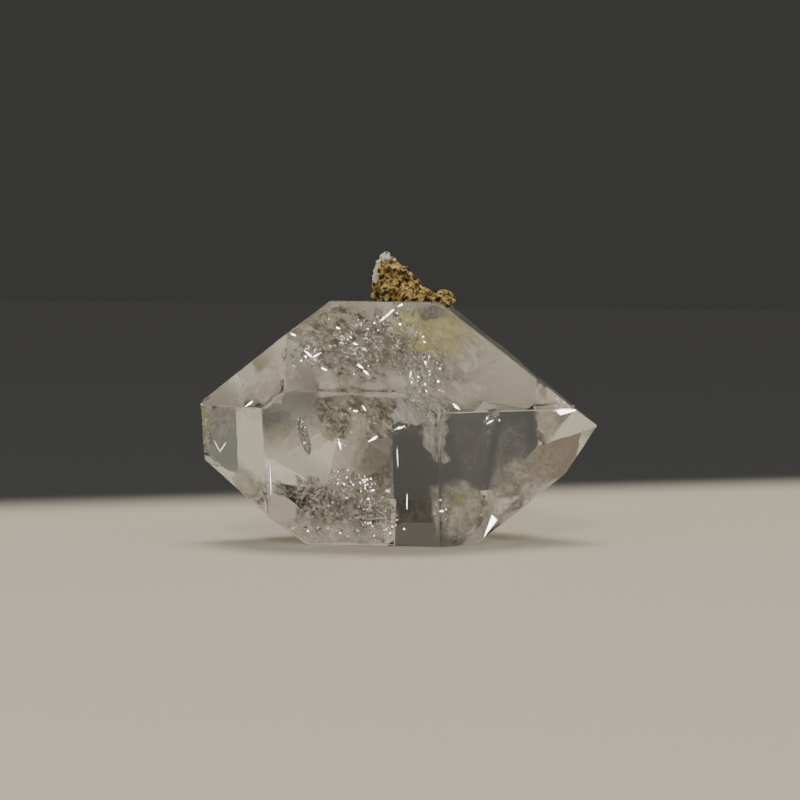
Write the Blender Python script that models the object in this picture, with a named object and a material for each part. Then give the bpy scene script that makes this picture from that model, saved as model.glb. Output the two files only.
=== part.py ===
"""A doubly terminated quartz crystal with a crumb of its host rock.

The crystal is closed by eighteen flat faces: six prism faces round its long
axis and six rhombohedral faces at each end.  Every face keeps the angles of
quartz, and only its distance from the middle of the crystal is a free
dimension, which is how real crystals of one species differ from each other.
It lies on one prism face, with the long axis along X and Z up.  The rock
crumb stands on the top prism face and hangs a little over its right corner.
"""
import math
import random

import bmesh
import bpy
from mathutils import Matrix, Vector, noise

MM = 0.001

# Quartz: the ratio of its two cell lengths fixes the slope of the end faces.
C_OVER_A = 1.100
END_FACE_ANGLE = math.atan(2.0 * C_OVER_A / math.sqrt(3.0))
PRISM_FACE_ANGLE = math.radians(90.0)

# Direction of each face round the long axis, in degrees.  The viewer in
# front of the crystal looks along +Y, and 90 points straight up.
AROUND = {
    "top": 90.0,
    "upper_front": 30.0,
    "lower_front": -30.0,
    "bottom": -90.0,
    "lower_back": -150.0,
    "upper_back": 150.0,
}

# Distance of each face from the middle of the crystal, in millimetres.
PRISM = {
    "top": 12.44,
    "upper_front": 13.93,
    "lower_front": 10.34,
    "bottom": 12.44,
    "lower_back": 14.28,
    "upper_back": 9.99,
}
RIGHT_END = {
    "top": 12.22,
    "upper_front": 12.00,
    "lower_front": 10.75,
    "bottom": 14.60,
    "lower_back": 14.32,
    "upper_back": 14.05,
}
LEFT_END = {
    "top": 13.98,
    "upper_front": 17.64,
    "lower_front": 16.24,
    "bottom": 15.52,
    "lower_back": 11.83,
    "upper_back": 8.56,
}

EDGE_ROUNDING = 0.05 * MM
ROUGH_BLOCK = 60.0 * MM
MIDDLE_HEIGHT = PRISM["bottom"] * MM

# A small shell-shaped chip on the edge between the two right front faces.
CHIP_X = 9.7 * MM
CHIP_LENGTH = 2.2 * MM
CHIP_DEPTH = 0.32 * MM
CHIP_HEIGHT = 1.7 * MM
CHIP_TURN = math.radians(25.0)

# The rock crumb: a leaning horn with a toe and a low knob to its right, all
# skinned with grains.  Heights are above the top prism face.
TOP_FACE = (PRISM["bottom"] + PRISM["top"]) * MM
CONTACT_GAP = 0.3 * MM
ROCK_Y = -2.6 * MM
ROCK_FOOT = -1.4 * MM
HORN_LEFT = -2.65 * MM
HORN_HEIGHT = 4.65 * MM
HORN_BASE_LENGTH = 5.7 * MM
HORN_BASE_DEPTH = 5.0 * MM
HORN_TIP = 0.15 * MM
HORN_LEAN = 0.90 * MM
HORN_LEVELS = 12
HORN_SIDES = 24
LUMP_SIZE = 1.3 * MM
LUMP_DEPTH = 0.45 * MM
TOE_CENTRE_X = 2.4 * MM
TOE_RADII = (2.3 * MM, 2.1 * MM, 0.62 * MM)
KNOB_CENTRE_X = 4.30 * MM
KNOB_RADII = (0.75 * MM, 1.3 * MM, 0.85 * MM)
GRAIN_COUNT = 260
GRAIN_SMALL = 0.30 * MM
GRAIN_LARGE = 0.62 * MM
DOLOMITE_RHOMB_ANGLE = math.radians(73.0)
GRAIN_FUSING_CELL = 0.18 * MM
SEED = 11


def remove_everything():
    for item in list(bpy.data.objects):
        bpy.data.objects.remove(item, do_unlink=True)


def face_normal(side, around_degrees, angle_from_axis):
    """Outward normal of a face, with side +1 for the right end and -1 left."""
    around = math.radians(around_degrees)
    outward = math.sin(angle_from_axis)
    return Vector((
        side * math.cos(angle_from_axis),
        -outward * math.cos(around),
        outward * math.sin(around),
    ))


def crystal_planes(grow=0.0):
    """Normal and distance of every face, all moved outward by grow."""
    planes = []
    for name, distance in PRISM.items():
        normal = face_normal(0, AROUND[name], PRISM_FACE_ANGLE)
        planes.append((normal, distance * MM + grow))
    for side, end in ((1, RIGHT_END), (-1, LEFT_END)):
        for name, distance in end.items():
            normal = face_normal(side, AROUND[name], END_FACE_ANGLE)
            planes.append((normal, distance * MM + grow))
    return planes


def solid_inside(planes, middle):
    """Closed mesh of the space behind every plane, seen from middle."""
    bm = bmesh.new()
    bmesh.ops.create_cube(bm, size=ROUGH_BLOCK)
    for normal, distance in planes:
        everything = bm.verts[:] + bm.edges[:] + bm.faces[:]
        cut = bmesh.ops.bisect_plane(
            bm,
            geom=everything,
            plane_co=normal * distance,
            plane_no=normal,
            clear_outer=True,
        )
        rim = [g for g in cut["geom_cut"] if isinstance(g, bmesh.types.BMEdge)]
        if rim:
            bmesh.ops.contextual_create(bm, geom=rim)
    bmesh.ops.recalc_face_normals(bm, faces=bm.faces)
    bmesh.ops.translate(bm, verts=bm.verts, vec=middle)
    return bm


def object_from(bm, name, material=None):
    mesh = bpy.data.meshes.new(name)
    bm.to_mesh(mesh)
    bm.free()
    item = bpy.data.objects.new(name, mesh)
    bpy.context.scene.collection.objects.link(item)
    if material is not None:
        mesh.materials.append(material)
    return item


def make_material(name, colour, roughness, transmission=0.0, ior=1.5):
    material = bpy.data.materials.new(name)
    material.use_nodes = True
    shader = material.node_tree.nodes["Principled BSDF"]
    shader.inputs["Base Color"].default_value = (*colour, 1.0)
    shader.inputs["Roughness"].default_value = roughness
    shader.inputs["Metallic"].default_value = 0.0
    shader.inputs["Transmission Weight"].default_value = transmission
    shader.inputs["IOR"].default_value = ior
    return material


def cut_away(item, cutter):
    """Subtract cutter from item and apply the result."""
    cutter.hide_render = True
    cutter.display_type = "WIRE"
    modifier = item.modifiers.new("cut", "BOOLEAN")
    modifier.operation = "DIFFERENCE"
    modifier.solver = "EXACT"
    modifier.object = cutter
    apply_modifiers(item)
    bpy.data.objects.remove(cutter, do_unlink=True)


def apply_modifiers(item):
    graph = bpy.context.evaluated_depsgraph_get()
    result = bpy.data.meshes.new_from_object(item.evaluated_get(graph))
    item.modifiers.clear()
    old = item.data
    item.data = result
    result.name = item.name
    bpy.data.meshes.remove(old)


def keep_largest_shell(item):
    """Drop every loose scrap, so that one closed body is left."""
    bm = bmesh.new()
    bm.from_mesh(item.data)
    waiting = set(bm.verts)
    shells = []
    while waiting:
        queue = [waiting.pop()]
        shell = list(queue)
        while queue:
            vertex = queue.pop()
            for edge in vertex.link_edges:
                other = edge.other_vert(vertex)
                if other in waiting:
                    waiting.remove(other)
                    queue.append(other)
                    shell.append(other)
        shells.append(shell)
    shells.sort(key=len)
    for shell in shells[:-1]:
        bmesh.ops.delete(bm, geom=shell, context="VERTS")
    bm.to_mesh(item.data)
    bm.free()


def chip_cutter():
    """Flattened, few-sided ball that takes the chip out of the edge."""
    upper = face_normal(1, AROUND["upper_front"], END_FACE_ANGLE)
    lower = face_normal(1, AROUND["lower_front"], END_FACE_ANGLE)
    along = upper.cross(lower).normalized()
    # Point of the edge at CHIP_X, from the two face distances.
    system = Matrix((upper, lower, Vector((1.0, 0.0, 0.0))))
    distances = Vector((
        RIGHT_END["upper_front"] * MM,
        RIGHT_END["lower_front"] * MM,
        CHIP_X,
    ))
    spot = system.inverted() @ distances
    outward = (upper + lower).normalized()
    across = outward.cross(along).normalized()
    axes = Matrix((along, across, outward)).transposed().to_4x4()
    thickness = 2.0 * CHIP_DEPTH
    size = Matrix.Diagonal((CHIP_LENGTH / 2.0, CHIP_HEIGHT / 2.0, thickness, 1.0))
    # The ball sits lower than the edge, so the chip opens on the lower face.
    shift = spot - across * CHIP_HEIGHT * 0.22 + outward * CHIP_DEPTH * 0.5
    middle = Vector((0.0, 0.0, MIDDLE_HEIGHT))
    bm = bmesh.new()
    bmesh.ops.create_icosphere(bm, subdivisions=1, radius=1.0)
    turn = Matrix.Rotation(CHIP_TURN, 4, "Z")
    place = Matrix.Translation(shift + middle) @ axes @ size @ turn
    bmesh.ops.transform(bm, matrix=place, verts=bm.verts)
    return object_from(bm, "chip_cutter")


def make_crystal():
    material = make_material(
        "clear_quartz",
        colour=(0.90, 0.90, 0.88),
        roughness=0.02,
        transmission=1.0,
        ior=1.544,
    )
    middle = Vector((0.0, 0.0, MIDDLE_HEIGHT))
    bm = solid_inside(crystal_planes(), middle)
    bmesh.ops.bevel(
        bm,
        geom=bm.edges[:],
        offset=EDGE_ROUNDING,
        segments=1,
        affect="EDGES",
        clamp_overlap=True,
    )
    crystal = object_from(bm, "quartz_crystal", material)
    cut_away(crystal, chip_cutter())
    return crystal


def horn_rings():
    """Centre and half axes of the stacked ellipses that make the horn."""
    rings = []
    for level in range(HORN_LEVELS + 1):
        height = ROCK_FOOT + (HORN_HEIGHT - ROCK_FOOT) * level / HORN_LEVELS
        above = max(height, 0.0) / HORN_HEIGHT
        # The left side stands up and leans in; the right side is a slope.
        narrowing = 1.0 - above ** 1.35
        length = HORN_TIP + (HORN_BASE_LENGTH - HORN_TIP) * narrowing
        depth = HORN_TIP + (HORN_BASE_DEPTH - HORN_TIP) * narrowing
        left = HORN_LEFT + HORN_LEAN * above ** 4.0
        centre = Vector((left + length / 2.0, ROCK_Y, TOP_FACE + height))
        rings.append((centre, length / 2.0, depth / 2.0))
    return rings


def lumpy(place, outward):
    """Move a point of the horn in or out, for its larger lumps."""
    amount = noise.noise(place / LUMP_SIZE) * LUMP_DEPTH
    return place + outward.normalized() * amount


def add_horn(bm):
    loops = []
    for centre, half_length, half_depth in horn_rings():
        loop = []
        for step in range(HORN_SIDES):
            turn = math.tau * step / HORN_SIDES
            offset = Vector((
                half_length * math.cos(turn),
                half_depth * math.sin(turn),
                0.0,
            ))
            loop.append(bm.verts.new(lumpy(centre + offset, offset)))
        loops.append(loop)
    for lower, upper in zip(loops, loops[1:]):
        for step in range(HORN_SIDES):
            after = (step + 1) % HORN_SIDES
            bm.faces.new((lower[step], lower[after], upper[after], upper[step]))
    bm.faces.new(list(reversed(loops[0])))
    bm.faces.new(loops[-1])


def add_ball(bm, centre_x, radii):
    centre = Vector((centre_x, ROCK_Y, TOP_FACE))
    place = Matrix.Translation(centre) @ Matrix.Diagonal((*radii, 1.0))
    bmesh.ops.create_icosphere(bm, subdivisions=3, radius=1.0, matrix=place)


def add_grain(bm, centre, size, rng):
    """One dolomite rhomb: a cube sheared to the mineral's face angle."""
    shear = Matrix.Identity(4)
    shear[0][2] = 1.0 / math.tan(DOLOMITE_RHOMB_ANGLE)
    turn = Matrix.Rotation(rng.uniform(0.0, math.tau), 4, "Z")
    tip = Matrix.Rotation(rng.uniform(0.0, math.pi), 4, "X")
    place = Matrix.Translation(centre) @ turn @ tip @ shear
    bmesh.ops.create_cube(bm, size=size, matrix=place)


def scatter_grains(bm):
    """Grains set into the skin of the horn, the toe and the knob."""
    rng = random.Random(SEED)
    skin = [f for f in bm.faces if f.calc_center_median().z > TOP_FACE]
    areas = [face.calc_area() for face in skin]
    chosen = rng.choices(skin, weights=areas, k=GRAIN_COUNT)
    spots = []
    for face in chosen:
        corners = [vertex.co for vertex in face.verts]
        spots.append(corners[0].lerp(corners[2], rng.random()))
    for spot in spots:
        size = GRAIN_SMALL + (GRAIN_LARGE - GRAIN_SMALL) * rng.random() ** 2
        add_grain(bm, spot, size, rng)


def make_rock():
    material = make_material("dolostone", (0.43, 0.31, 0.17), roughness=0.9)
    bm = bmesh.new()
    add_horn(bm)
    add_ball(bm, TOE_CENTRE_X, TOE_RADII)
    add_ball(bm, KNOB_CENTRE_X, KNOB_RADII)
    scatter_grains(bm)
    bmesh.ops.recalc_face_normals(bm, faces=bm.faces)
    rock = object_from(bm, "matrix_fragment", material)
    fuse = rock.modifiers.new("fuse", "REMESH")
    fuse.mode = "VOXEL"
    fuse.voxel_size = GRAIN_FUSING_CELL
    apply_modifiers(rock)
    keep_largest_shell(rock)
    middle = Vector((0.0, 0.0, MIDDLE_HEIGHT))
    kept_clear = solid_inside(crystal_planes(grow=CONTACT_GAP), middle)
    cut_away(rock, object_from(kept_clear, "seat_cutter"))
    keep_largest_shell(rock)
    return rock


def centre_on_origin(items):
    """Put the middle of the whole part over the origin, resting on Z = 0."""
    corners = []
    for item in items:
        corners.extend(vertex.co for vertex in item.data.vertices)
    low = Vector([min(c[axis] for c in corners) for axis in range(3)])
    high = Vector([max(c[axis] for c in corners) for axis in range(3)])
    shift = -(low + high) / 2.0
    shift.z = -low.z
    for item in items:
        item.data.transform(Matrix.Translation(shift))


def main():
    remove_everything()
    crystal = make_crystal()
    rock = make_rock()
    centre_on_origin((crystal, rock))


main()
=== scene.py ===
"""Looks of a clear, double-ended quartz crystal with a crumb of rock on it.

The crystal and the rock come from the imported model.  This script gives the
crystal its clear material, dresses the rock in fine grains, and grows the
flaws inside the crystal: veils, cracks, glints and stains.  A flaw is placed
by where the photograph shows it: a ray from the camera is bent at the
crystal's front face, as quartz bends it, and the flaw lies on that ray at its
own depth.
"""
import math
import random
from dataclasses import dataclass

import bmesh
import bpy
import numpy as np
from mathutils import Matrix, Vector, noise

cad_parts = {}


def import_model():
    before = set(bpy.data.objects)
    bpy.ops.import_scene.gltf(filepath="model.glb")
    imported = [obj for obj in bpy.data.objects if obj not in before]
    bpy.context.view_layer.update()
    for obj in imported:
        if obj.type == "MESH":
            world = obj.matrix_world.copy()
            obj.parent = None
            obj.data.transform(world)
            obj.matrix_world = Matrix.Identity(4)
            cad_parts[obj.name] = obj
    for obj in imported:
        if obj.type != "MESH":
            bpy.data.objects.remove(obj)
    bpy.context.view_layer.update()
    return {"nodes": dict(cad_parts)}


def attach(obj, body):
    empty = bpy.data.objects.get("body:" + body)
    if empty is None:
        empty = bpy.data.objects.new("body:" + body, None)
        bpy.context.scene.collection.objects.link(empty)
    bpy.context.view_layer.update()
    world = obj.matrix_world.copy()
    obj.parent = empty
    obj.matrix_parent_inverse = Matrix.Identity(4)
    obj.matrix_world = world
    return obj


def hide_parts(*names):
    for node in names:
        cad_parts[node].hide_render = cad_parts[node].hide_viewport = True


MM = 0.001

# The camera of the photograph, from a fit of the crystal's face angles.  Its
# sight is how near and how far it sees, in metres.
PHOTO_SIZE = 800
CAMERA_PLACE = Vector((17.24, -279.31, 28.60)) * MM
CAMERA_TIP = math.radians(2.86)
CAMERA_TURN = math.radians(3.58)
CAMERA_ROLL = math.radians(-0.88)
CAMERA_SIGHT = (0.01, 10.0)
FOCAL_PIXELS = 2720.0
SENSOR = 36.0

# One pixel of the photograph on the crystal, in metres.
PIXEL = 0.1 * MM

# A face bounds the crystal if no corner lies beyond it by more than the first,
# and a ray runs along a face if its cosine with the normal is under the second.
CORNER_SLACK = 1e-5
ALONG_FACE = 1e-9

QUARTZ_IOR = 1.544
QUARTZ_TINT = (0.93, 0.90, 0.82)
QUARTZ_ABSORPTION = 6.0

# Growth lines round the long axis, and a faint swell of each face.
GROWTH_SPACING = 0.30 * MM
GROWTH_STRETCH = (1.0, 20.0, 20.0)
GROWTH_DEPTH = 0.0004 * MM
SWELL_SPACING = 2.5 * MM
SWELL_DEPTH = 0.004 * MM

# The underside is a little rough, so that it lets out light that it would
# otherwise mirror back into the crystal for good.
WORN_HEIGHT = 0.03 * MM
WORN_START = 0.3 * WORN_HEIGHT
WORN_ROUGHNESS = 0.30

# Flaws keep this far from the crystal's faces.
SKIN = 0.12 * MM
CAVITY_WIDTH = 0.03 * MM

VOID_ROUGHNESS = 0.03
VOID_RIPPLE = 0.12 * MM
VOID_RIPPLE_DEPTH = 0.02 * MM

MIRROR_ROUGHNESS = 0.06
MIRROR_MOTTLE = 0.3 * MM
MIRROR_SPREAD = (0.3, 0.7)
MIRROR_WARM = (0.95, 0.90, 0.84)
MIRROR_COOL = (0.98, 0.98, 1.0)

# How the looks of a cloudy sheet follow its noise, which runs from 0 to 1.  The
# clouds in it are coarser than its spots.
HAZE_ROUGHNESS = 0.6
HAZE_SPOTS = (0.40, 0.60)
HAZE_CLOUDS = 3.5

# Cloudy sheets that fade evenly instead of in tatters: the fade at which they
# are full, and how much the clouds then thin them.
SMOOTH_LOOKS = ("warm_haze", "mottled_haze", "rose_haze", "blue_haze", "thin_film", "stain")
SMOOTH_FULL = 0.9
SMOOTH_CLOUDS = (0.35, 0.60, 0.6, 1.0)

# In the others, a share of the fade is added to the clouds, and what passes
# the limits shows.  It thins out where the fade is under the rim's.
TORN_SHARE = 0.55
TORN_LIMITS = (0.62, 1.08)
TORN_RIM = 0.4

# A veil's grid: its fewest points a side, the fade below which it stops, the
# share of it that fades, smooth or torn, and the cells by a cut that fade too.
FEWEST_POINTS = 6
LEAST_FADE = 0.05
SMOOTH_FALL = 1.0
TORN_FALL = 0.5
CUT_CELLS = 4

# A veil's relief has a finer one on top.  Its rim and its holes follow noise
# of their own, and each seed moves through the noise by one step.  Each octave
# of the noise is finer than the last by its lacunarity, and fades the same way.
FINER = 3
FINER_SHARE = 0.4
RIM_SCALE = 0.5
HOLE_SCALE = 0.8
SEED_STEP = 7.31
VEIL_LACUNARITY = 2.0
VEIL_OCTAVES = 3
FRACTAL_FADE = 1.0

# Flakes in a spray: most are small, all are uneven, and those that mirror the
# key light are smaller than the others.
FLAKE_BIAS = 1.5
FLAKE_TILT = 0.5
FLAKE_CORNERS = (5, 7)
FLAKE_NARROW = (0.3, 0.9)
FLAKE_REACH = (0.6, 1.0)
LIT_FLAKE = 0.6
SLIVER_BEND = (0.2, 0.8)

# Steps of the search for a tilt that mirrors the key light.
KEY_SEARCH = (0.6, 0.2, 0.07, 0.02)
KEY_TRIES = 40

# The rock's colours, and the size of what each pattern shows.
ROCK_TAN = (0.36, 0.245, 0.065)
ROCK_CREAM = (0.90, 0.72, 0.34)
ROCK_OCHRE = (0.25, 0.145, 0.022)
ROCK_BROWN = (0.055, 0.031, 0.006)
# The colour of the painted shade in the rock's hollows.
ROCK_PAINTED_SHADE = (0.018, 0.012, 0.006)
ROCK_PALE = (0.74, 0.71, 0.66)
ROCK_ROUGHNESS = 0.75
ROCK_CRYSTALS = 0.28 * MM
ROCK_BLOTCHES = 0.9 * MM
ROCK_BLOTCH_LIMITS = (0.40, 0.60)
ROCK_GRIT = 0.07 * MM
ROCK_GRIT_DEPTH = 0.03 * MM

# Painted shade: dark spots that stand for shade in the hollows, more of them
# towards the rock's foot, where it sits on the crystal.
SHADE_SPOTS = 0.45 * MM
SHADE_SPOT_LIMITS = (0.54, 0.59)
FOOT_SHADE_BAND = (2.2 * MM, 0.4 * MM)
FOOT_EXTRA_SHADE = 0.05

# Pale crust on the tip, and down the left edge above the foot.
CRUST = 0.6 * MM
CRUST_LIMITS = (0.32, 0.44)
CRUST_START = 3.6 * MM
CRUST_BELOW_TOP = 0.2 * MM
CRUST_EDGE = (1.2 * MM, 0.4 * MM)
CRUST_ABOVE_FOOT = (1.8 * MM, 2.6 * MM)

# The rock's fine skin: remesh cell, its pits, and how it seats.
ROCK_CELL = 0.10 * MM
ROCK_PITS = 0.20 * MM
ROCK_PIT_SPACING = 0.5 * MM
ROCK_PIT_LACUNARITY = 2.2
ROCK_PIT_OCTAVES = 4
ROCK_SEAT = 0.45 * MM
ROCK_SEAT_BLEND = 0.15 * MM
ROCK_REST = 0.015 * MM

# Loose grains on it: most are small, and each is sunk into the skin.
GRAIN_COUNT = 5200
GRAIN_SEED = 17
GRAIN_SIZES = (0.10 * MM, 0.36 * MM)
GRAIN_BIAS = 1.6
GRAIN_SUNK = 0.15
GRAIN_CLEAR = 0.8
DOLOMITE_RHOMB_ANGLE = math.radians(73.0)

# The floor lies a hair under the crystal, so its underside still reflects.  It
# is pale under the crystal; behind it, along the direction below, it turns dark
# in painted shade, for light that falls off towards the back.
FLOOR_DROP = 0.05 * MM
FLOOR_HALF = 1.6
FLOOR_CELLS = 8
FLOOR_ROUGHNESS = 0.9
FLOOR_PALE = (0.64, 0.61, 0.53)
# The colour of the painted shade behind the crystal.
FLOOR_PAINTED_SHADE = (0.060, 0.063, 0.070)
FLOOR_SHADE_AWAY = Vector((-0.50, 0.866, 0.0))
FLOOR_SHADE_FADE = (0.038, 0.066)

# A small key light high behind the camera, for shadows and glints.
KEY_PLACE = (-0.018, -0.52, 0.312)
KEY_AIM = Vector((0.0, 0.0, 12.0 * MM))
KEY_SIZE = 0.09
KEY_POWER = 0.80


@dataclass
class SkyPatch:
    """A round patch of the sky in its own colour, with all angles in degrees.

    right is the angle from the view direction and height the angle above the
    floor.  The patch is full up to one angle from there and ends at another.
    """
    right: float
    height: float
    end: float
    full: float
    colour: tuple


@dataclass
class Haze:
    """Looks of a cloudy sheet: dark and light mottles, and how much it hides.

    grain is in millimetres, and the mottles are drawn out by long along a line
    turned by turn degrees.
    """
    dark: tuple
    light: tuple
    cover: float
    grain: float
    long: float = 1.0
    turn: float = 0.0


@dataclass
class Veil:
    """A crumpled sheet inside the crystal, as the photograph shows it.

    centre and reach are pixels of the photograph, turn is in degrees, depth
    is millimetres behind the front face, and lean is how much deeper the
    sheet gets towards its right and its lower edge.
    """
    name: str
    centre: tuple
    reach: tuple
    depth: float
    lean: tuple = (0.0, 0.0)
    turn: float = 0.0
    relief: float = 0.25
    wave: float = 0.8
    stretch: float = 1.0
    ragged: float = 0.6
    torn: float = 0.0
    cell: float = 0.25
    seed: float = 1.0
    look: str = "void"


@dataclass
class Spray:
    """Small flat cavities, scattered over a patch of the photograph.

    depth, its spread and the flakes' sizes are millimetres, and lit is the
    share of flakes that mirror the key light.
    """
    name: str
    centre: tuple
    reach: tuple
    depth: float
    count: int
    size: tuple
    spread: float = 0.5
    turn: float = 0.0
    lit: float = 0.3
    seed: int = 1


@dataclass
class Sliver:
    """A thin flat crack between two pixels of the photograph.

    width is in pixels too, and depth in millimetres.
    """
    start: tuple
    end: tuple
    width: float
    depth: float


@dataclass
class Crack:
    """A flat crack with its corners in pixels and its depth in millimetres."""
    name: str
    corners: tuple
    depth: float
    seed: int


# Soft light from all round, in beige, with brighter and darker patches.
SKY_EVEN = (0.37, 0.32, 0.24)
SKY_PATCHES = (
    SkyPatch(125.0, 42.0, 48.0, 14.0, (0.52, 0.46, 0.35)),
    SkyPatch(-135.0, 22.0, 26.0, 10.0, (0.75, 0.67, 0.52)),
    SkyPatch(-114.0, 5.0, 18.0, 9.0, (0.20, 0.155, 0.115)),
    SkyPatch(67.0, 8.0, 21.0, 11.0, (0.18, 0.18, 0.16)),
    # The bright light overhead.
    SkyPatch(0.0, 90.0, 20.0, 9.0, (7.4, 7.1, 6.4)),
    # A dark cloth behind the crystal.
    SkyPatch(-12.0, 28.0, 46.0, 33.0, (0.045, 0.045, 0.042)),
)

HAZES = {
    "grey_haze": Haze((0.20, 0.17, 0.12), (1.00, 0.98, 0.90), 0.85, 0.85, 2.2, 50),
    "brown_haze": Haze((0.46, 0.40, 0.32), (1.00, 0.98, 0.93), 0.65, 0.90, 2.4, 50),
    "dark_haze": Haze((0.10, 0.08, 0.05), (0.84, 0.78, 0.64), 0.85, 0.70, 1.6, 50),
    "pale_haze": Haze((0.66, 0.62, 0.62), (1.00, 0.99, 1.00), 0.85, 0.45, 3.0, 65),
    "blue_haze": Haze((0.16, 0.17, 0.18), (0.44, 0.45, 0.46), 0.90, 0.40),
    "warm_haze": Haze((0.84, 0.79, 0.68), (1.00, 0.97, 0.89), 0.95, 0.90, 1.6, 40),
    "mottled_haze": Haze((0.60, 0.56, 0.47), (1.00, 0.98, 0.94), 0.95, 0.90, 1.3, 30),
    "rose_haze": Haze((0.60, 0.47, 0.40), (0.90, 0.78, 0.68), 0.45, 0.80),
    "sponge_haze": Haze((0.09, 0.07, 0.05), (1.00, 0.98, 0.92), 0.90, 0.50),
    "thin_film": Haze((0.14, 0.15, 0.17), (0.80, 0.81, 0.84), 0.36, 0.20),
    "stain": Haze((0.70, 0.62, 0.24), (0.92, 0.85, 0.44), 0.80, 0.80),
}

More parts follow.
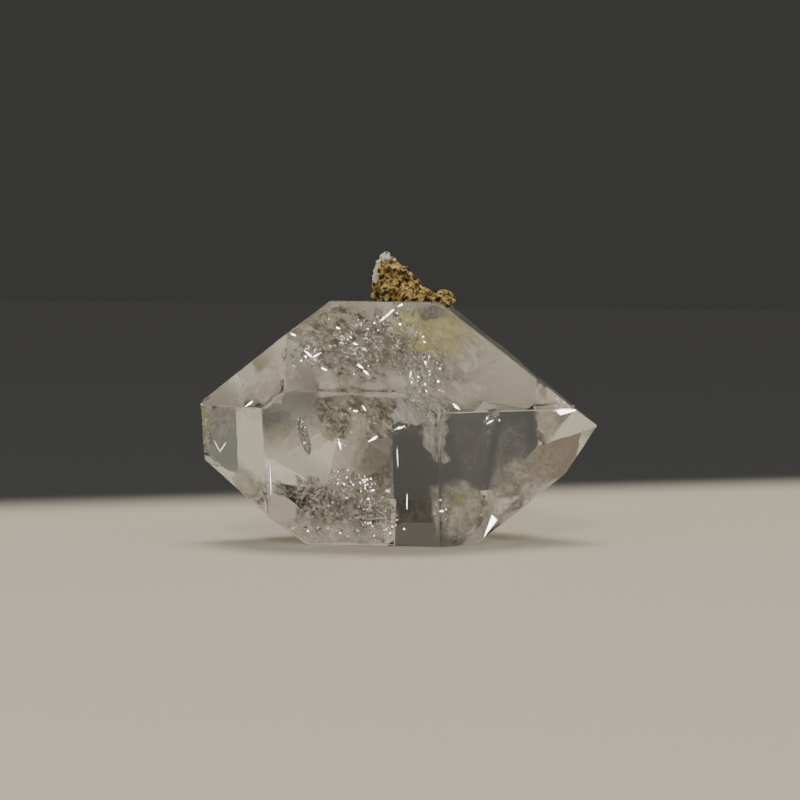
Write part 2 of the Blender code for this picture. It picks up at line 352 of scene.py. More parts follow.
VEILS = (
    # Mottled grey-brown veils under the upper front face.
    Veil("veil_upper_left", (346, 340), (54, 40), 5.2, lean=(0.6, -3.0), turn=8,
         relief=0.5, ragged=0.9, seed=3, look="grey_haze"),
    Veil("veil_upper_middle", (384, 356), (48, 38), 6.2, lean=(0.6, -3.0), turn=30,
         relief=0.5, ragged=0.9, seed=9, look="brown_haze"),
    Veil("veil_upper_edge", (336, 316), (30, 16), 3.2, lean=(1.0, 1.0), turn=-8,
         relief=0.3, ragged=0.7, seed=14, look="dark_haze"),
    Veil("veil_upper_right", (424, 366), (20, 56), 5.0, lean=(0.6, -4.0), turn=-14,
         relief=0.4, ragged=0.7, seed=12, look="pale_haze"),
    Veil("veil_under_rock", (426, 311), (32, 11), 2.4, lean=(0.4, 0.4),
         relief=0.2, ragged=0.6, seed=15, look="blue_haze"),
    Veil("patch_left", (330, 380), (20, 18), 2.6, lean=(0.2, -1.4), turn=-20,
         relief=0.15, ragged=0.5, cell=0.12, seed=16, look="warm_haze"),
    Veil("patch_far_left", (262, 390), (40, 25), 1.6, lean=(0.1, -1.0), turn=-36,
         relief=0.10, ragged=0.9, cell=0.12, seed=20, look="warm_haze"),
    Veil("cloud_right", (462, 350), (38, 40), 3.4, lean=(0.4, -2.4), turn=38,
         relief=0.2, ragged=0.7, seed=24, look="mottled_haze"),
    Veil("patch_middle", (376, 380), (42, 17), 2.8, lean=(0.2, -1.4), turn=4,
         relief=0.15, ragged=0.5, cell=0.12, seed=17, look="warm_haze"),
    Veil("patch_edge", (460, 392), (40, 17), 1.9, lean=(0.2, -1.2),
         relief=0.15, ragged=0.4, cell=0.10, seed=19, look="warm_haze"),
    # The brown curtain and what hangs under the long front edge.
    Veil("curtain", (335, 421), (18, 36), 4.0, lean=(1.0, 0.6), turn=-24,
         relief=0.4, ragged=0.9, seed=5, look="dark_haze"),
    Veil("curtain_right", (370, 416), (38, 24), 5.0, lean=(1.0, -1.6), turn=12,
         relief=0.4, ragged=0.9, cell=0.14, seed=6, look="grey_haze"),
    Veil("streak_right", (432, 424), (17, 46), 4.0, lean=(0.5, -2.6), turn=-14,
         relief=0.3, ragged=0.6, cell=0.14, seed=8, look="pale_haze"),
    Veil("band_cap", (420, 410), (34, 18), 3.2, lean=(0.2, -1.2), turn=6,
         relief=0.2, ragged=0.8, cell=0.10, seed=34, look="pale_haze"),
    # The spongy veil low on the left, and its image by the left edge.
    Veil("sponge", (313, 503), (42, 30), 5.0, lean=(-0.8, -2.4), turn=12,
         relief=0.6, ragged=0.9, seed=7, look="sponge_haze"),
    Veil("sponge_tail", (356, 512), (30, 20), 4.2, lean=(0.6, -1.8), turn=4,
         relief=0.5, ragged=0.9, seed=21, look="sponge_haze"),
    Veil("sponge_left", (259, 496), (10, 18), 1.4, lean=(0.1, -0.3), turn=-38,
         relief=0.1, ragged=0.7, cell=0.10, seed=26, look="sponge_haze"),
    Veil("patch_low_left", (246, 484), (19, 15), 1.0, lean=(0.1, -0.2), turn=42,
         relief=0.05, ragged=0.4, cell=0.08, seed=37, look="warm_haze"),
    Veil("cloud_bottom", (330, 534), (64, 18), 1.8, lean=(0.2, -1.0), turn=4,
         relief=0.1, ragged=0.5, cell=0.10, seed=29, look="mottled_haze"),
    # Thin clouds in the right end, and a film over the dark window.
    Veil("cloud_low_right", (513, 500), (56, 38), 2.8, lean=(0.3, -2.2), turn=-42,
         relief=0.2, ragged=0.5, cell=0.12, seed=22, look="mottled_haze"),
    Veil("cloud_low", (464, 514), (34, 38), 3.2, lean=(0.3, -2.4),
         relief=0.2, ragged=0.5, cell=0.12, seed=25, look="mottled_haze"),
    Veil("cloud_point", (556, 466), (36, 20), 2.2, lean=(-0.6, -0.4), turn=-36,
         relief=0.2, ragged=0.5, seed=23, look="rose_haze"),
    Veil("window_edge", (547, 408), (15, 44), 1.2, lean=(0.0, 0.0),
         relief=0.05, ragged=0.3, cell=0.07, seed=27, look="warm_haze"),
    Veil("window_film", (496, 448), (50, 44), 3.0, lean=(0.4, -0.3), turn=12,
         relief=0.2, ragged=0.5, seed=28, look="thin_film"),
    Veil("stain_top", (438, 330), (46, 27), 2.8, lean=(0.6, -1.0), turn=14,
         relief=0.2, ragged=0.7, cell=0.14, seed=31, look="stain"),
    Veil("stain_low", (458, 508), (18, 16), 4.0, lean=(0.5, 0.5),
         relief=0.2, ragged=0.8, seed=33, look="stain"),
    # Glassy crumples, which lean back at the top and mirror what is overhead.
    Veil("crumple_upper", (360, 345), (46, 34), 4.4, lean=(0.8, -3.0), turn=24,
         relief=0.55, wave=1.0, stretch=2.0, ragged=0.8, torn=0.45, cell=0.12, seed=3),
    Veil("crumple_middle", (396, 336), (26, 30), 3.8, lean=(0.6, -2.6), turn=30,
         relief=0.50, wave=0.8, stretch=2.0, ragged=0.8, torn=0.45, cell=0.12, seed=13),
    Veil("crumple_right", (424, 380), (16, 50), 4.0, lean=(1.0, -4.2), turn=-12,
         relief=0.45, wave=0.7, stretch=0.6, torn=0.45, cell=0.12, seed=12),
    Veil("crumple_low", (360, 508), (36, 28), 4.0, lean=(1.0, -2.6), turn=8,
         relief=0.5, wave=0.6, ragged=0.7, torn=0.45, cell=0.11, seed=21),
    Veil("crumple_left", (306, 356), (18, 14), 3.0, lean=(0.4, -1.2), turn=-20,
         relief=0.35, wave=0.5, ragged=0.7, torn=0.4, cell=0.09, seed=41),
    Veil("spindle_crack", (304, 436), (5, 20), 3.0, lean=(0.4, -1.6), turn=-16,
         relief=0.25, wave=0.5, ragged=0.3, torn=0.1, cell=0.06, seed=4),
)

SPRAYS = (
    Spray("glints_top_left", (311, 355), (12, 9), 2.8, 60, (0.06, 0.24), turn=-20, lit=0.2, seed=2),
    Spray("glints_upper", (352, 338), (38, 26), 3.0, 120, (0.05, 0.22), turn=20, lit=0.06, seed=13),
    Spray("glints_top", (392, 330), (26, 22), 2.6, 160, (0.06, 0.26), turn=30, lit=0.04, seed=16),
    Spray("glints_middle", (363, 371), (10, 8), 2.0, 30, (0.05, 0.18), lit=0.2, seed=3),
    Spray("glints_right", (428, 366), (15, 38), 2.4, 330, (0.06, 0.26), lit=0.06, seed=6),
    Spray("glints_low", (352, 481), (25, 10), 3.0, 200, (0.06, 0.22), turn=14, lit=0.12, seed=4),
    Spray("glints_low_right", (376, 520), (21, 24), 2.8, 330, (0.06, 0.26), lit=0.08, seed=5),
    Spray("glints_bottom", (318, 534), (34, 9), 1.5, 90, (0.05, 0.22), turn=8, lit=0.06, seed=10),
    Spray("glints_edge", (443, 508), (5, 16), 2.0, 50, (0.04, 0.16), lit=0.2, seed=7),
    Spray("glints_curtain", (352, 425), (28, 22), 3.0, 90, (0.05, 0.18), lit=0.08, seed=8),
    Spray("glints_chip", (491, 419), (11, 5), 0.9, 40, (0.05, 0.16), spread=0.1, lit=0.2, seed=9),
    Spray("glints_band_top", (402, 424), (9, 6), 1.6, 40, (0.05, 0.18), spread=0.2, lit=0.1,
          seed=14),
    Spray("glints_tip", (556, 400), (14, 8), 1.0, 20, (0.04, 0.12), spread=0.1, lit=0.2, seed=15),
    Spray("glints_left", (258, 498), (9, 12), 1.2, 40, (0.04, 0.14), spread=0.1, lit=0.1, seed=17),
)

# Thin slivers that mirror the key light.
SLIVERS = (
    Sliver((379, 322), (390, 313), 1.8, 3.0),
    Sliver((388, 314), (398, 306), 1.4, 3.0),
    Sliver((397, 307), (403, 304), 1.4, 3.0),
    Sliver((336, 327), (340, 329), 1.6, 3.0),
    Sliver((353, 343), (358, 345), 1.4, 3.0),
    Sliver((290, 333), (296, 336), 1.4, 2.0),
    Sliver((304, 350), (312, 357), 1.4, 2.2),
    Sliver((312, 358), (322, 352), 1.0, 2.2),
    Sliver((321, 367), (327, 371), 1.6, 2.0),
    Sliver((357, 364), (364, 369), 1.8, 2.0),
    Sliver((363, 370), (369, 375), 1.6, 2.0),
    Sliver((413, 330), (417, 333), 1.0, 3.0),
    Sliver((424, 356), (426, 366), 1.4, 3.0),
    Sliver((431, 348), (437, 357), 1.6, 2.4),
    Sliver((411, 371), (412, 390), 0.8, 3.0),
    Sliver((353, 411), (358, 411), 1.4, 3.0),
    Sliver((362, 405), (366, 411), 1.4, 3.0),
    Sliver((301, 438), (309, 456), 1.4, 2.6),
    Sliver((338, 438), (341, 450), 1.8, 3.4),
    Sliver((368, 442), (378, 436), 2.0, 3.0),
    Sliver((394, 430), (405, 426), 1.8, 2.0),
    Sliver((397, 447), (398, 468), 0.4, 2.0),
    Sliver((407, 493), (407, 510), 0.6, 2.0),
    Sliver((403, 529), (405, 529), 1.4, 2.0),
    Sliver((245, 407), (253, 401), 1.6, 0.8),
    Sliver((214, 440), (220, 452), 0.25, 1.0),
    Sliver((220, 452), (226, 442), 0.25, 1.0),
    Sliver((270, 461), (271, 496), 0.3, 1.2),
    Sliver((206, 452), (220, 466), 2.2, 1.0),
    Sliver((452, 403), (460, 410), 2.4, 1.4),
    Sliver((385, 526), (391, 528), 2.0, 2.6),
    Sliver((440, 511), (444, 511), 1.4, 2.6),
    Sliver((442, 391), (445, 391), 1.2, 2.6),
    Sliver((482, 413), (502, 411), 0.5, 0.7),
    Sliver((486, 424), (494, 420), 0.8, 0.7),
)

# Larger flat cracks that mirror the key light.
CRACKS = (
    Crack("crack_point", ((549, 389), (574, 407), (561, 408)), 1.6, seed=11),
    Crack("crack_low", ((492, 515), (497, 520), (484, 537)), 1.6, seed=9),
)


def camera_axes():
    """Right, forward and up of the camera, as unit vectors."""
    tip = Matrix.Rotation(CAMERA_TIP, 3, "X")
    turn = Matrix.Rotation(-CAMERA_TURN, 3, "Z")
    roll = Matrix.Rotation(-CAMERA_ROLL, 3, "Y")
    rows = roll @ turn @ tip
    return rows[0].copy(), rows[1].copy(), rows[2].copy()


def add_object(name, data):
    """A new object of the scene that holds data."""
    item = bpy.data.objects.new(name, data)
    bpy.context.scene.collection.objects.link(item)
    return item


def add_camera():
    """The camera of the photograph."""
    data = bpy.data.cameras.new("camera")
    data.sensor_width = SENSOR
    data.lens = SENSOR * FOCAL_PIXELS / PHOTO_SIZE
    data.clip_start, data.clip_end = CAMERA_SIGHT
    camera = add_object("camera", data)
    right, forward, up = camera_axes()
    axes = Matrix((right, up, -forward)).transposed().to_4x4()
    camera.matrix_world = Matrix.Translation(CAMERA_PLACE) @ axes
    bpy.context.scene.camera = camera


class Crystal:
    """The flat faces of the crystal, and where a bent ray goes inside it."""

    def __init__(self, node):
        self.normals = np.array([polygon.normal for polygon in node.data.polygons])
        centres = np.array([polygon.center for polygon in node.data.polygons])
        self.distances = (self.normals * centres).sum(axis=1)
        # A dent's faces point across the solid, so they don't bound it.
        corners = np.array([vertex.co for vertex in node.data.vertices])
        beyond = (corners @ self.normals.T - self.distances).max(axis=0)
        bounding = beyond < CORNER_SLACK
        # A face may be several triangles, which all count as one plane.
        rounded = np.round(self.normals[bounding], 3)
        _, first = np.unique(rounded, axis=0, return_index=True)
        self.normals = self.normals[bounding][first]
        self.distances = self.distances[bounding][first]

    def seen_at(self, pixels, depth):
        """Points the camera sees at pixels, depth metres inside.

        Also the bent ray at each point and the number of its front face.
        """
        right, forward, up = (np.array(axis) for axis in camera_axes())
        half = PHOTO_SIZE / 2.0
        across = (pixels[:, 0:1] - half) / FOCAL_PIXELS
        rise = (half - pixels[:, 1:2]) / FOCAL_PIXELS
        rays = forward + across * right + rise * up
        rays /= np.linalg.norm(rays, axis=1, keepdims=True)
        eye = np.array(CAMERA_PLACE)
        along = rays @ self.normals.T
        gap = self.distances - self.normals @ eye
        facing = along < -ALONG_FACE
        reach = np.where(facing, gap / np.where(facing, along, 1.0), -np.inf)
        face = reach.argmax(axis=1)
        entry = eye + rays * reach.max(axis=1)[:, None]
        normal = self.normals[face]
        ratio = 1.0 / QUARTZ_IOR
        cosine = -(rays * normal).sum(axis=1, keepdims=True)
        inner = np.sqrt(1.0 - ratio ** 2 * (1.0 - cosine ** 2))
        bent = ratio * rays + (ratio * cosine - inner) * normal
        return entry + bent * depth[:, None], bent, face

    def inside(self, points, margin=SKIN):
        """Whether each point is inside by more than margin."""
        room = self.distances - points @ self.normals.T
        return room.min(axis=1) > margin

    def leaves(self, point, direction):
        """Direction in which a ray from inside leaves, or None if it stays."""
        along = self.normals @ direction
        ahead = along > ALONG_FACE
        room = self.distances - self.normals @ point
        face = int(np.where(ahead, room / np.where(ahead, along, 1.0), np.inf).argmin())
        cosine = along[face]
        bend = 1.0 - QUARTZ_IOR ** 2 * (1.0 - cosine ** 2)
        if bend < 0.0:
            return None
        outer = math.sqrt(bend)
        return QUARTZ_IOR * direction + (outer - QUARTZ_IOR * cosine) * self.normals[face]


def feed(tree, socket, value):
    """Link an input to another node's output, or set it to a plain value."""
    if isinstance(value, bpy.types.NodeSocket):
        tree.links.new(value, socket)
    else:
        socket.default_value = value


def feed_all(tree, node, inputs):
    """Feed a node's inputs by name, with underscores for spaces."""
    for name, value in inputs.items():
        feed(tree, node.inputs[name.replace("_", " ")], value)


def new_material(name, **inputs):
    """A material, its node tree and its shader, with the shader's inputs fed."""
    material = bpy.data.materials.new(name)
    material.use_nodes = True
    tree = material.node_tree
    shader = tree.nodes["Principled BSDF"]
    feed_all(tree, shader, inputs)
    return material, tree, shader


def add_node(tree, kind, **inputs):
    node = tree.nodes.new(kind)
    feed_all(tree, node, inputs)
    return node


def math_node(tree, operation, first, second):
    node = tree.nodes.new("ShaderNodeMath")
    node.operation = operation
    for socket, value in zip(node.inputs, (first, second)):
        feed(tree, socket, value)
    return node.outputs["Value"]


def dot_product(tree, place, direction):
    """How far place lies along direction."""
    node = tree.nodes.new("ShaderNodeVectorMath")
    node.operation = "DOT_PRODUCT"
    for socket, value in zip(node.inputs, (place, direction)):
        feed(tree, socket, value)
    return node.outputs["Value"]


def object_place(tree, long=(1.0, 1.0, 1.0), turn=0.0):
    """Place on the piece, drawn out by long once turned about the Y axis."""
    place = tree.nodes.new("ShaderNodeTexCoord").outputs["Object"]
    mapping = tree.nodes.new("ShaderNodeMapping")
    mapping.vector_type = "TEXTURE"
    feed_all(tree, mapping, {"Vector": place, "Rotation": (0.0, turn, 0.0), "Scale": long})
    return mapping.outputs["Vector"]


def noise_value(tree, place, wavelength, detail=3.0, roughness=0.55):
    """Random values from 0 to 1, which change over about a wavelength."""
    node = add_node(
        tree, "ShaderNodeTexNoise",
        Vector=place, Scale=1.0 / wavelength, Detail=detail, Roughness=roughness,
    )
    return node.outputs["Fac"]


def ramp(tree, value, low, high, to_low=0.0, to_high=1.0):
    """A smooth step from to_low to to_high while value goes from low to high."""
    node = add_node(
        tree, "ShaderNodeMapRange",
        Value=value, From_Min=low, From_Max=high, To_Min=to_low, To_Max=to_high,
    )
    node.interpolation_type = "SMOOTHSTEP"
    return node.outputs["Result"]


def blend(tree, share, first, second):
    """The first colour where share is 0, the second where it is 1."""
    node = tree.nodes.new("ShaderNodeMix")
    node.data_type = "RGBA"
    feed(tree, node.inputs["Factor"], share)
    for name, colour in (("A", first), ("B", second)):
        socket = next(s for s in node.inputs if s.name == name and s.type == "RGBA")
        if not isinstance(colour, bpy.types.NodeSocket):
            colour = (*colour, 1.0)
        feed(tree, socket, colour)
    return next(s for s in node.outputs if s.type == "RGBA")


def bump(tree, height, depth, **below):
    """The surface's normal, tilted by a height that rises to depth."""
    node = add_node(tree, "ShaderNodeBump", Height=height, Distance=depth, **below)
    return node.outputs["Normal"]


def quartz_material():
    """Clear quartz with faint growth lines and a slightly rough underside."""
    material, tree, shader = new_material(
        "clear_quartz_look",
        Base_Color=(1.0, 1.0, 1.0, 1.0), IOR=QUARTZ_IOR, Transmission_Weight=1.0,
    )
    place = tree.nodes.new("ShaderNodeTexCoord").outputs["Object"]
    height = add_node(tree, "ShaderNodeSeparateXYZ", Vector=place).outputs["Z"]
    worn = ramp(tree, height, WORN_START, WORN_HEIGHT, WORN_ROUGHNESS, 0.0)
    feed(tree, shader.inputs["Roughness"], worn)
    lines = noise_value(tree, object_place(tree, GROWTH_STRETCH), GROWTH_SPACING, detail=1.0)
    swell = noise_value(tree, object_place(tree), SWELL_SPACING, detail=1.0)
    fine = bump(tree, lines, GROWTH_DEPTH)
    feed(tree, shader.inputs["Normal"], bump(tree, swell, SWELL_DEPTH, Normal=fine))
    bulk = add_node(
        tree, "ShaderNodeVolumeAbsorption",
        Color=(*QUARTZ_TINT, 1.0), Density=QUARTZ_ABSORPTION,
    )
    output = tree.nodes["Material Output"]
    feed(tree, output.inputs["Volume"], bulk.outputs["Volume"])
    return material


def void_material():
    """Empty space inside the quartz, which mirrors light at a low angle."""
    material, tree, shader = new_material(
        "inner_void", Roughness=VOID_ROUGHNESS, IOR=QUARTZ_IOR, Transmission_Weight=1.0
    )
    ripple = noise_value(tree, object_place(tree), VOID_RIPPLE, detail=4.0)
    feed(tree, shader.inputs["Normal"], bump(tree, ripple, VOID_RIPPLE_DEPTH))
    return material


def mirror_material():
    """A flat cavity seen at a low angle, where quartz mirrors fully."""
    material, tree, shader = new_material(
        "inner_mirror", Roughness=MIRROR_ROUGHNESS, Metallic=1.0
    )
    mottle = noise_value(tree, object_place(tree), MIRROR_MOTTLE, detail=2.0)
    share = ramp(tree, mottle, *MIRROR_SPREAD)
    feed(tree, shader.inputs["Base Color"], blend(tree, share, MIRROR_WARM, MIRROR_COOL))
    return material


def haze_material(name, haze):
    """A sheet of tiny bubbles: it clouds the view in mottles and streaks."""
    material, tree, shader = new_material(name, Roughness=HAZE_ROUGHNESS)
    place = object_place(tree, (haze.long, 1.0, 1.0), math.radians(haze.turn))
    grain = haze.grain * MM
    spots = noise_value(tree, place, grain, detail=5.0, roughness=0.75)
    colour = blend(tree, ramp(tree, spots, *HAZE_SPOTS), haze.dark, haze.light)
    feed(tree, shader.inputs["Base Color"], colour)
    clouds = noise_value(tree, place, HAZE_CLOUDS * grain, detail=6.0, roughness=0.7)
    attribute = tree.nodes.new("ShaderNodeAttribute")
    attribute.attribute_name = "fade"
    fade = attribute.outputs["Fac"]
    if name in SMOOTH_LOOKS:
        held = ramp(tree, fade, 0.0, SMOOTH_FULL, 0.0, haze.cover)
        thinned = ramp(tree, clouds, *SMOOTH_CLOUDS)
    else:
        amount = math_node(tree, "ADD", clouds, math_node(tree, "MULTIPLY", fade, TORN_SHARE))
        held = ramp(tree, amount, *TORN_LIMITS, 0.0, haze.cover)
        thinned = ramp(tree, fade, 0.0, TORN_RIM)
    feed(tree, shader.inputs["Alpha"], math_node(tree, "MULTIPLY", held, thinned))
    return material


def rock_material(low, high):
    """Sugary dolomite: ochre and tan grains, painted shade in dark spots for hollows, and a pale
    crust.

    low and high are the corners of the rock's box.
    """
    material, tree, shader = new_material("sugary_dolomite", Roughness=ROCK_ROUGHNESS)
    place = object_place(tree)
    split = add_node(tree, "ShaderNodeSeparateXYZ", Vector=place)
    across, rise = split.outputs["X"], split.outputs["Z"]
    cells = add_node(tree, "ShaderNodeTexVoronoi", Vector=place, Scale=1.0 / ROCK_CRYSTALS)
    tone = add_node(tree, "ShaderNodeSeparateColor", Color=cells.outputs["Color"])
    tan = blend(tree, tone.outputs["Red"], ROCK_TAN, ROCK_CREAM)
    ochre = blend(tree, tone.outputs["Green"], ROCK_OCHRE, ROCK_BROWN)
    blotch = noise_value(tree, place, ROCK_BLOTCHES, detail=4.0, roughness=0.6)
    colour = blend(tree, ramp(tree, blotch, *ROCK_BLOTCH_LIMITS), tan, ochre)

    foot = low[2]
    # Painted shade: dark spots for shade in the hollows, more of them near the foot.
    shade_noise = noise_value(tree, place, SHADE_SPOTS, roughness=0.6)
    foot_shade_share = ramp(tree, rise, foot + FOOT_SHADE_BAND[0], foot + FOOT_SHADE_BAND[1], 0.0, FOOT_EXTRA_SHADE)
    painted_shade = ramp(tree, math_node(tree, "ADD", shade_noise, foot_shade_share), *SHADE_SPOT_LIMITS)
    colour = blend(tree, painted_shade, colour, ROCK_PAINTED_SHADE)

    tip = ramp(tree, rise, foot + CRUST_START, high[2] - CRUST_BELOW_TOP)
    left = ramp(tree, across, low[0] + CRUST_EDGE[0], low[0] + CRUST_EDGE[1])
    above = ramp(tree, rise, foot + CRUST_ABOVE_FOOT[0], foot + CRUST_ABOVE_FOOT[1])
    edge = math_node(tree, "MULTIPLY", left, above)
    patch = noise_value(tree, place, CRUST)
    where = math_node(tree, "MULTIPLY", math_node(tree, "ADD", tip, edge), patch)
    colour = blend(tree, ramp(tree, where, *CRUST_LIMITS), colour, ROCK_PALE)
    feed(tree, shader.inputs["Base Color"], colour)

    grit = noise_value(tree, place, ROCK_GRIT, detail=4.0, roughness=0.7)
    feed(tree, shader.inputs["Normal"], bump(tree, grit, ROCK_GRIT_DEPTH))
    return material


def add_mesh(name, points, faces, material, smooth=True):
    """A new piece of the scene, made of points and faces."""
    mesh = bpy.data.meshes.new(name)
    mesh.from_pydata([tuple(point) for point in points], [], faces)
    mesh.materials.append(material)
    mesh.polygons.foreach_set("use_smooth", [smooth] * len(mesh.polygons))
    mesh.update()
    return add_object(name, mesh)


def keep_with_part(piece):
    """Let a piece ride on the part."""
    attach(piece, "root")


def turned(centre, across, down, turn):
    """The pixel that is across and down from centre, turned about it."""
    return (
        centre[0] + across * math.cos(turn) - down * math.sin(turn),
        centre[1] + across * math.sin(turn) + down * math.cos(turn),
    )


def fractal(x, y, seed):
    """Uneven heights about 0, with a field of their own for each seed."""
    place = Vector((x, y, seed * SEED_STEP))
    return noise.fractal(place, FRACTAL_FADE, VEIL_LACUNARITY, VEIL_OCTAVES)


def veil_grid(veil):
    """Pixels, depths, edge fades and holes of a veil's grid of points."""
    columns, rows = (
        max(FEWEST_POINTS, round(2.0 * reach * PIXEL / (veil.cell * MM)))
        for reach in veil.reach
    )
    turn = math.radians(veil.turn)
    fall = SMOOTH_FALL if veil.look in SMOOTH_LOOKS else TORN_FALL
    pixels, depths, fades, holes = [], [], [], []
    for row in range(rows):
        for column in range(columns):
            u = 2.0 * column / (columns - 1) - 1.0
            v = 2.0 * row / (rows - 1) - 1.0
            across = u * veil.reach[0]
            down = v * veil.reach[1]
            pixels.append(turned(veil.centre, across, down, turn))
            x = across * PIXEL / (veil.wave * MM)
            y = down * PIXEL / (veil.wave * MM) * veil.stretch
            bulge = fractal(x, y, veil.seed)
            bulge += FINER_SHARE * fractal(FINER * x, FINER * y, veil.seed + 1)
            deep = veil.depth + veil.lean[0] * u + veil.lean[1] * v
            depths.append((deep + veil.relief * bulge) * MM)
            uneven = veil.ragged * fractal(x * RIM_SCALE, y * RIM_SCALE, veil.seed + 2)
            edge = 1.0 - u * u - v * v + uneven
            fades.append(min(1.0, max(0.0, edge / fall)))
            gap = fractal(x * HOLE_SCALE, y * HOLE_SCALE, veil.seed + 3)
            holes.append(gap < 2.0 * veil.torn - 1.0)
    return rows, columns, np.array(pixels), np.array(depths), np.array(fades), np.array(holes)


def add_veil(crystal, veil, materials):
    """A veil: a closed cavity where its look is void, and else a single sheet."""
    rows, columns, pixels, depths, fades, holes = veil_grid(veil)
    front, bent, face = crystal.seen_at(pixels, depths)
    good = crystal.inside(front) & ~holes & (fades > LEAST_FADE)
    fades = fades * soft_edge(good, face, rows, columns)
    faces = []
    for row in range(rows - 1):
        for column in range(columns - 1):
            first = row * columns + column
            ring = (first, first + columns, first + columns + 1, first + 1)
            corners = list(ring)
            if good[corners].all() and np.ptp(face[corners]) == 0:
                faces.append(ring)
    if veil.look == "void":
        back = front + bent * CAVITY_WIDTH
        points, faces = hollow_sheet(front, back, faces)
        piece = add_mesh(veil.name, points, faces, materials[veil.look])
    else:
        piece = add_mesh(veil.name, front, faces, materials[veil.look])
        fade = piece.data.attributes.new("fade", "FLOAT", "POINT")
        fade.data.foreach_set("value", fades)
    drop_loose_points(piece)
    keep_with_part(piece)


def soft_edge(good, face, rows, columns):
    """Share of each grid point, which dies away towards cut-off cells."""
    good = good.reshape(rows, columns)
    face = np.pad(face.reshape(rows, columns), 1, mode="edge")
    share = good.astype(float)
    sides = ((0, 1), (2, 1), (1, 0), (1, 2))
    for down, right in sides:
        share *= face[down:down + rows, right:right + columns] == face[1:-1, 1:-1]
    for _ in range(CUT_CELLS):
        wide = np.pad(share, 1)
        near = sum(wide[down:down + rows, right:right + columns] for down, right in sides)
        share = np.minimum(share, near / len(sides))
    return share.ravel()


def hollow_sheet(front, back, rings):
    """A closed cavity between two sheets, its faces looking into it."""
    count = len(front)
    faces = []
    rim = set()
    for ring in rings:
        faces.append(tuple(reversed(ring)))
        faces.append(tuple(corner + count for corner in ring))
        for start, end in zip(ring, ring[1:] + ring[:1]):
            if (end, start) in rim:
                rim.remove((end, start))
            else:
                rim.add((start, end))
    for start, end in sorted(rim):
        faces.append((start, end, end + count, start + count))
    return np.concatenate((front, back)), faces


def drop_loose_points(piece):
    """Remove the grid's points that no face uses."""
    bm = bmesh.new()
    bm.from_mesh(piece.data)
    loose = [vertex for vertex in bm.verts if not vertex.link_faces]
    bmesh.ops.delete(bm, geom=loose, context="VERTS")
    bm.to_mesh(piece.data)
    bm.free()


def add_spray(crystal, spray, material):
    """A spray: flakes at random places, all joined into one piece."""
    rng = random.Random(spray.seed)
    turn = math.radians(spray.turn)
    pixels, depths, sizes = [], [], []
    for _ in range(spray.count):
        radius = math.sqrt(rng.random())
        angle = rng.uniform(0.0, math.tau)
        across = radius * math.cos(angle) * spray.reach[0]
        down = radius * math.sin(angle) * spray.reach[1]
        pixels.append(turned(spray.centre, across, down, turn))
        depths.append((spray.depth + rng.gauss(0.0, spray.spread)) * MM)
        low, high = spray.size
        sizes.append((low + (high - low) * rng.random() ** FLAKE_BIAS) * MM)
    centres, bent, _ = crystal.seen_at(np.array(pixels), np.array(depths))
    inside = crystal.inside(centres, SKIN + max(sizes))
    points, faces = [], []
    for centre, ray, size, good in zip(centres, bent, sizes, inside):
        if not good:
            continue
        normal = flake_normal(ray, rng)
        if rng.random() < spray.lit:
            normal = facing_key(crystal, centre, ray, rng)
            size *= LIT_FLAKE
        add_flake(points, faces, Vector(centre), normal, size, rng)
    piece = add_mesh(spray.name, points, faces, material, smooth=False)
    keep_with_part(piece)


def flake_normal(ray, rng):
    """A random tilt about facing the view."""
    nudge = Vector([rng.gauss(0.0, FLAKE_TILT) for _ in range(3)])
    return (nudge - Vector(ray)).normalized()


def facing_key(crystal, centre, ray, rng):
    """The tilt that best sends the view to the key light, by ever finer tries."""
    key = (Vector(KEY_PLACE) - Vector(centre)).normalized()
    best, found = -2.0, -Vector(ray)
    for reach in KEY_SEARCH:
        middle = found
        for _ in range(KEY_TRIES):
            normal = middle + Vector([rng.gauss(0.0, reach) for _ in range(3)])
            normal.normalize()
            bounced = Vector(ray).reflect(normal)
            out = crystal.leaves(np.array(centre), np.array(bounced))
            score = -1.0 if out is None else Vector(out).dot(key)
            if score > best:
                best, found = score, normal
    return found


def add_flake(points, faces, centre, normal, size, rng):
    """An uneven flat chip of a few corners."""
    corners = rng.randint(*FLAKE_CORNERS)
    turn = Matrix.Rotation(rng.uniform(0.0, math.tau), 3, normal)
    side = turn @ normal.orthogonal().normalized()
    other = normal.cross(side)
    first = len(points)
    narrow = rng.uniform(*FLAKE_NARROW)
    reaches = [size * rng.uniform(*FLAKE_REACH) for _ in range(corners)]
    for lift in (0.5, -0.5):
        for corner, reach in enumerate(reaches):
            angle = math.tau * corner / corners
            point = centre + side * reach * math.cos(angle)
            point += other * reach * narrow * math.sin(angle)
            points.append(point + normal * lift * CAVITY_WIDTH)
    top = [first + corner for corner in range(corners)]
    low = [index + corners for index in top]
    faces.append(tuple(top))
    faces.append(tuple(reversed(low)))
    for index in range(corners):
        after = (index + 1) % corners
        faces.append((top[after], top[index], low[index], low[after]))


def add_crack_body(crystal, corners, depth, seed, points, faces):
    """A flat crack that fills corners as the camera sees it."""
    pixels = np.array(corners, dtype=float)
    depths = np.full(len(corners), depth * MM)
    places, bent, _ = crystal.seen_at(pixels, depths)
    centre = places.mean(axis=0)
    ray = bent.mean(axis=0)
    normal = np.array(facing_key(crystal, centre, ray, random.Random(seed)))
    count = len(corners)
    first = len(points)
    for lift in (0.5, -0.5):
        middle = centre + normal * lift * CAVITY_WIDTH
        for place, toward in zip(places, bent):
            along = (middle - place) @ normal / (toward @ normal)
            points.append(place + toward * along)
    faces.append(tuple(range(first, first + count)))
    faces.append(tuple(range(first + 2 * count - 1, first + count - 1, -1)))
    for index in range(count):
        here, after = first + index, first + (index + 1) % count
        faces.append((after, here, here + count, after + count))


def add_crack(crystal, crack, material):
    """One of the larger flat cracks."""
    points, faces = [], []
    add_crack_body(crystal, crack.corners, crack.depth, crack.seed, points, faces)
    piece = add_mesh(crack.name, points, faces, material, smooth=False)
    keep_with_part(piece)


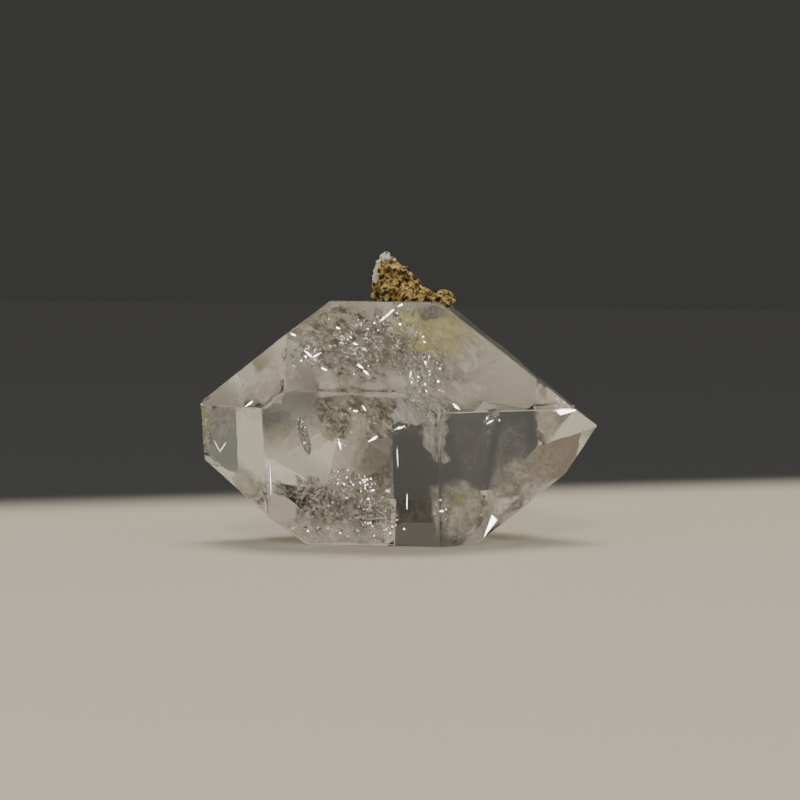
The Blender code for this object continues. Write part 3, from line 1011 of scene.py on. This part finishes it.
def add_slivers(crystal, material):
    """All slivers as one piece, each a thin uneven rhomb."""
    points, faces = [], []
    for seed, sliver in enumerate(SLIVERS):
        rng = random.Random(seed)
        start = np.array(sliver.start, dtype=float)
        along = np.array(sliver.end, dtype=float) - start
        side = np.array((-along[1], along[0])) / np.linalg.norm(along) * sliver.width / 2.0
        bends = [rng.uniform(*SLIVER_BEND) for _ in range(2)]
        corners = (
            start,
            start + along * bends[0] + side,
            start + along,
            start + along * bends[1] - side,
        )
        add_crack_body(crystal, corners, sliver.depth, seed, points, faces)
    piece = add_mesh("slivers", points, faces, material, smooth=False)
    keep_with_part(piece)


def fine_skin(node):
    """The rock's solid as one fine mesh with pits in it."""
    mesh = node.data.copy()
    mesh.materials.clear()
    skin = add_object("rock_skin", mesh)
    fuse = skin.modifiers.new("fuse", "REMESH")
    fuse.mode = "VOXEL"
    fuse.voxel_size = ROCK_CELL
    graph = bpy.context.evaluated_depsgraph_get()
    fine = bpy.data.meshes.new_from_object(skin.evaluated_get(graph))
    bpy.data.objects.remove(skin, do_unlink=True)
    bm = bmesh.new()
    bm.from_mesh(fine)
    bm.normal_update()
    for vertex in bm.verts:
        place = vertex.co / ROCK_PIT_SPACING
        pit = noise.fractal(place, FRACTAL_FADE, ROCK_PIT_LACUNARITY, ROCK_PIT_OCTAVES)
        vertex.co += vertex.normal * (pit * ROCK_PITS)
    bm.to_mesh(fine)
    bm.free()
    return fine


def dress_rock(node, crystal):
    """A finer skin with loose grains over the rock's solid, on the crystal."""
    fine = fine_skin(node)
    places = np.array([settle(vertex.co, crystal) for vertex in fine.vertices])
    skin_faces = [tuple(polygon.vertices) for polygon in fine.polygons]
    grain_places, grain_faces = grains(fine, crystal, len(places))
    points = np.concatenate((places, grain_places))
    low, high = places.min(axis=0), places.max(axis=0)
    material = rock_material(low, high)
    rock = add_mesh("dolomite_rock", points, skin_faces + grain_faces, material, smooth=False)
    keep_with_part(rock)
    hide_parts("matrix_fragment")


def settle(place, crystal):
    """Close the thin gap under the rock, face by face."""
    heights = crystal.normals @ np.array(place) - crystal.distances
    face = int(heights.argmax())
    height = heights[face]
    if height > ROCK_SEAT:
        return np.array(place)
    share = min(1.0, (ROCK_SEAT - height) / ROCK_SEAT_BLEND)
    return np.array(place) - crystal.normals[face] * (height - ROCK_REST) * share


def grains(skin, crystal, first):
    """Small tumbled rhombs all over the rock's skin, with points from first on."""
    rng = random.Random(GRAIN_SEED)
    shear = Matrix.Identity(3)
    shear[0][2] = 1.0 / math.tan(DOLOMITE_RHOMB_ANGLE)
    corners = [Vector((x, y, z)) * 0.5 for x in (-1, 1) for y in (-1, 1) for z in (-1, 1)]
    sides = ((0, 1, 3, 2), (4, 6, 7, 5), (0, 4, 5, 1), (2, 3, 7, 6), (0, 2, 6, 4), (1, 5, 7, 3))
    areas = [polygon.area for polygon in skin.polygons]
    low, high = GRAIN_SIZES
    points, faces = [], []
    for polygon in rng.choices(skin.polygons, weights=areas, k=GRAIN_COUNT):
        size = low + (high - low) * rng.random() ** GRAIN_BIAS
        heights = crystal.normals @ np.array(polygon.center) - crystal.distances
        if heights.max() < GRAIN_CLEAR * size:
            continue
        turn = Matrix.Rotation(rng.uniform(0.0, math.tau), 3, "Z")
        tip = Matrix.Rotation(rng.uniform(0.0, math.pi), 3, "X")
        centre = polygon.center - polygon.normal * size * GRAIN_SUNK
        start = first + len(points)
        points.extend(centre + turn @ tip @ shear @ corner * size for corner in corners)
        faces.extend(tuple(start + corner for corner in side) for side in sides)
    return np.array(points), faces


def add_floor():
    """A floor, pale under the crystal and darker behind it in painted shade."""
    bm = bmesh.new()
    place = Matrix.Translation((0.0, 0.0, -FLOOR_DROP))
    bmesh.ops.create_grid(
        bm, x_segments=FLOOR_CELLS, y_segments=FLOOR_CELLS, size=FLOOR_HALF, matrix=place
    )
    mesh = bpy.data.meshes.new("studio_floor")
    bm.to_mesh(mesh)
    bm.free()
    floor = add_object("studio_floor", mesh)
    material, tree, shader = new_material(
        "studio_paper_painted_shade", Roughness=FLOOR_ROUGHNESS, Specular_IOR_Level=0.0
    )
    into_shade = dot_product(tree, object_place(tree), FLOOR_SHADE_AWAY)
    # Painted shade: the floor's colour darkens behind the crystal, for light falling off.
    colour = blend(tree, ramp(tree, into_shade, *FLOOR_SHADE_FADE), FLOOR_PALE, FLOOR_PAINTED_SHADE)
    feed(tree, shader.inputs["Base Color"], colour)
    mesh.materials.append(material)


def sky_direction(right, height):
    """Unit vector at angles in degrees from the view direction and the floor."""
    right = math.radians(right)
    height = math.radians(height)
    level = math.cos(height)
    return Vector((math.sin(right) * level, math.cos(right) * level, math.sin(height)))


def add_world():
    """Soft light from all round, with a dark cloth behind the crystal."""
    world = bpy.data.worlds.new("studio")
    bpy.context.scene.world = world
    world.use_nodes = True
    tree = world.node_tree
    direction = tree.nodes.new("ShaderNodeTexCoord").outputs["Generated"]
    colour = SKY_EVEN
    for patch in SKY_PATCHES:
        near = dot_product(tree, direction, sky_direction(patch.right, patch.height))
        limits = math.cos(math.radians(patch.end)), math.cos(math.radians(patch.full))
        colour = blend(tree, ramp(tree, near, *limits), colour, patch.colour)
    feed(tree, tree.nodes["Background"].inputs["Color"], colour)


def add_key_light():
    """The small square key light, turned to the crystal."""
    data = bpy.data.lights.new("key", "AREA")
    data.shape = "SQUARE"
    data.size = KEY_SIZE
    data.energy = KEY_POWER
    light = add_object("key", data)
    light.location = KEY_PLACE
    aim = KEY_AIM - Vector(KEY_PLACE)
    light.rotation_euler = aim.to_track_quat("-Z", "Y").to_euler()


def main():
    """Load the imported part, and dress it."""
    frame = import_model()
    add_camera()
    node = frame["nodes"]["quartz_crystal"]
    crystal = Crystal(node)
    node.data.materials.clear()
    node.data.materials.append(quartz_material())
    materials = {name: haze_material(name, haze) for name, haze in HAZES.items()}
    materials["void"] = void_material()
    for veil in VEILS:
        add_veil(crystal, veil, materials)
    mirror = mirror_material()
    for spray in SPRAYS:
        add_spray(crystal, spray, mirror)
    for crack in CRACKS:
        add_crack(crystal, crack, mirror)
    add_slivers(crystal, mirror)
    dress_rock(frame["nodes"]["matrix_fragment"], crystal)
    add_floor()
    add_world()
    add_key_light()


main()
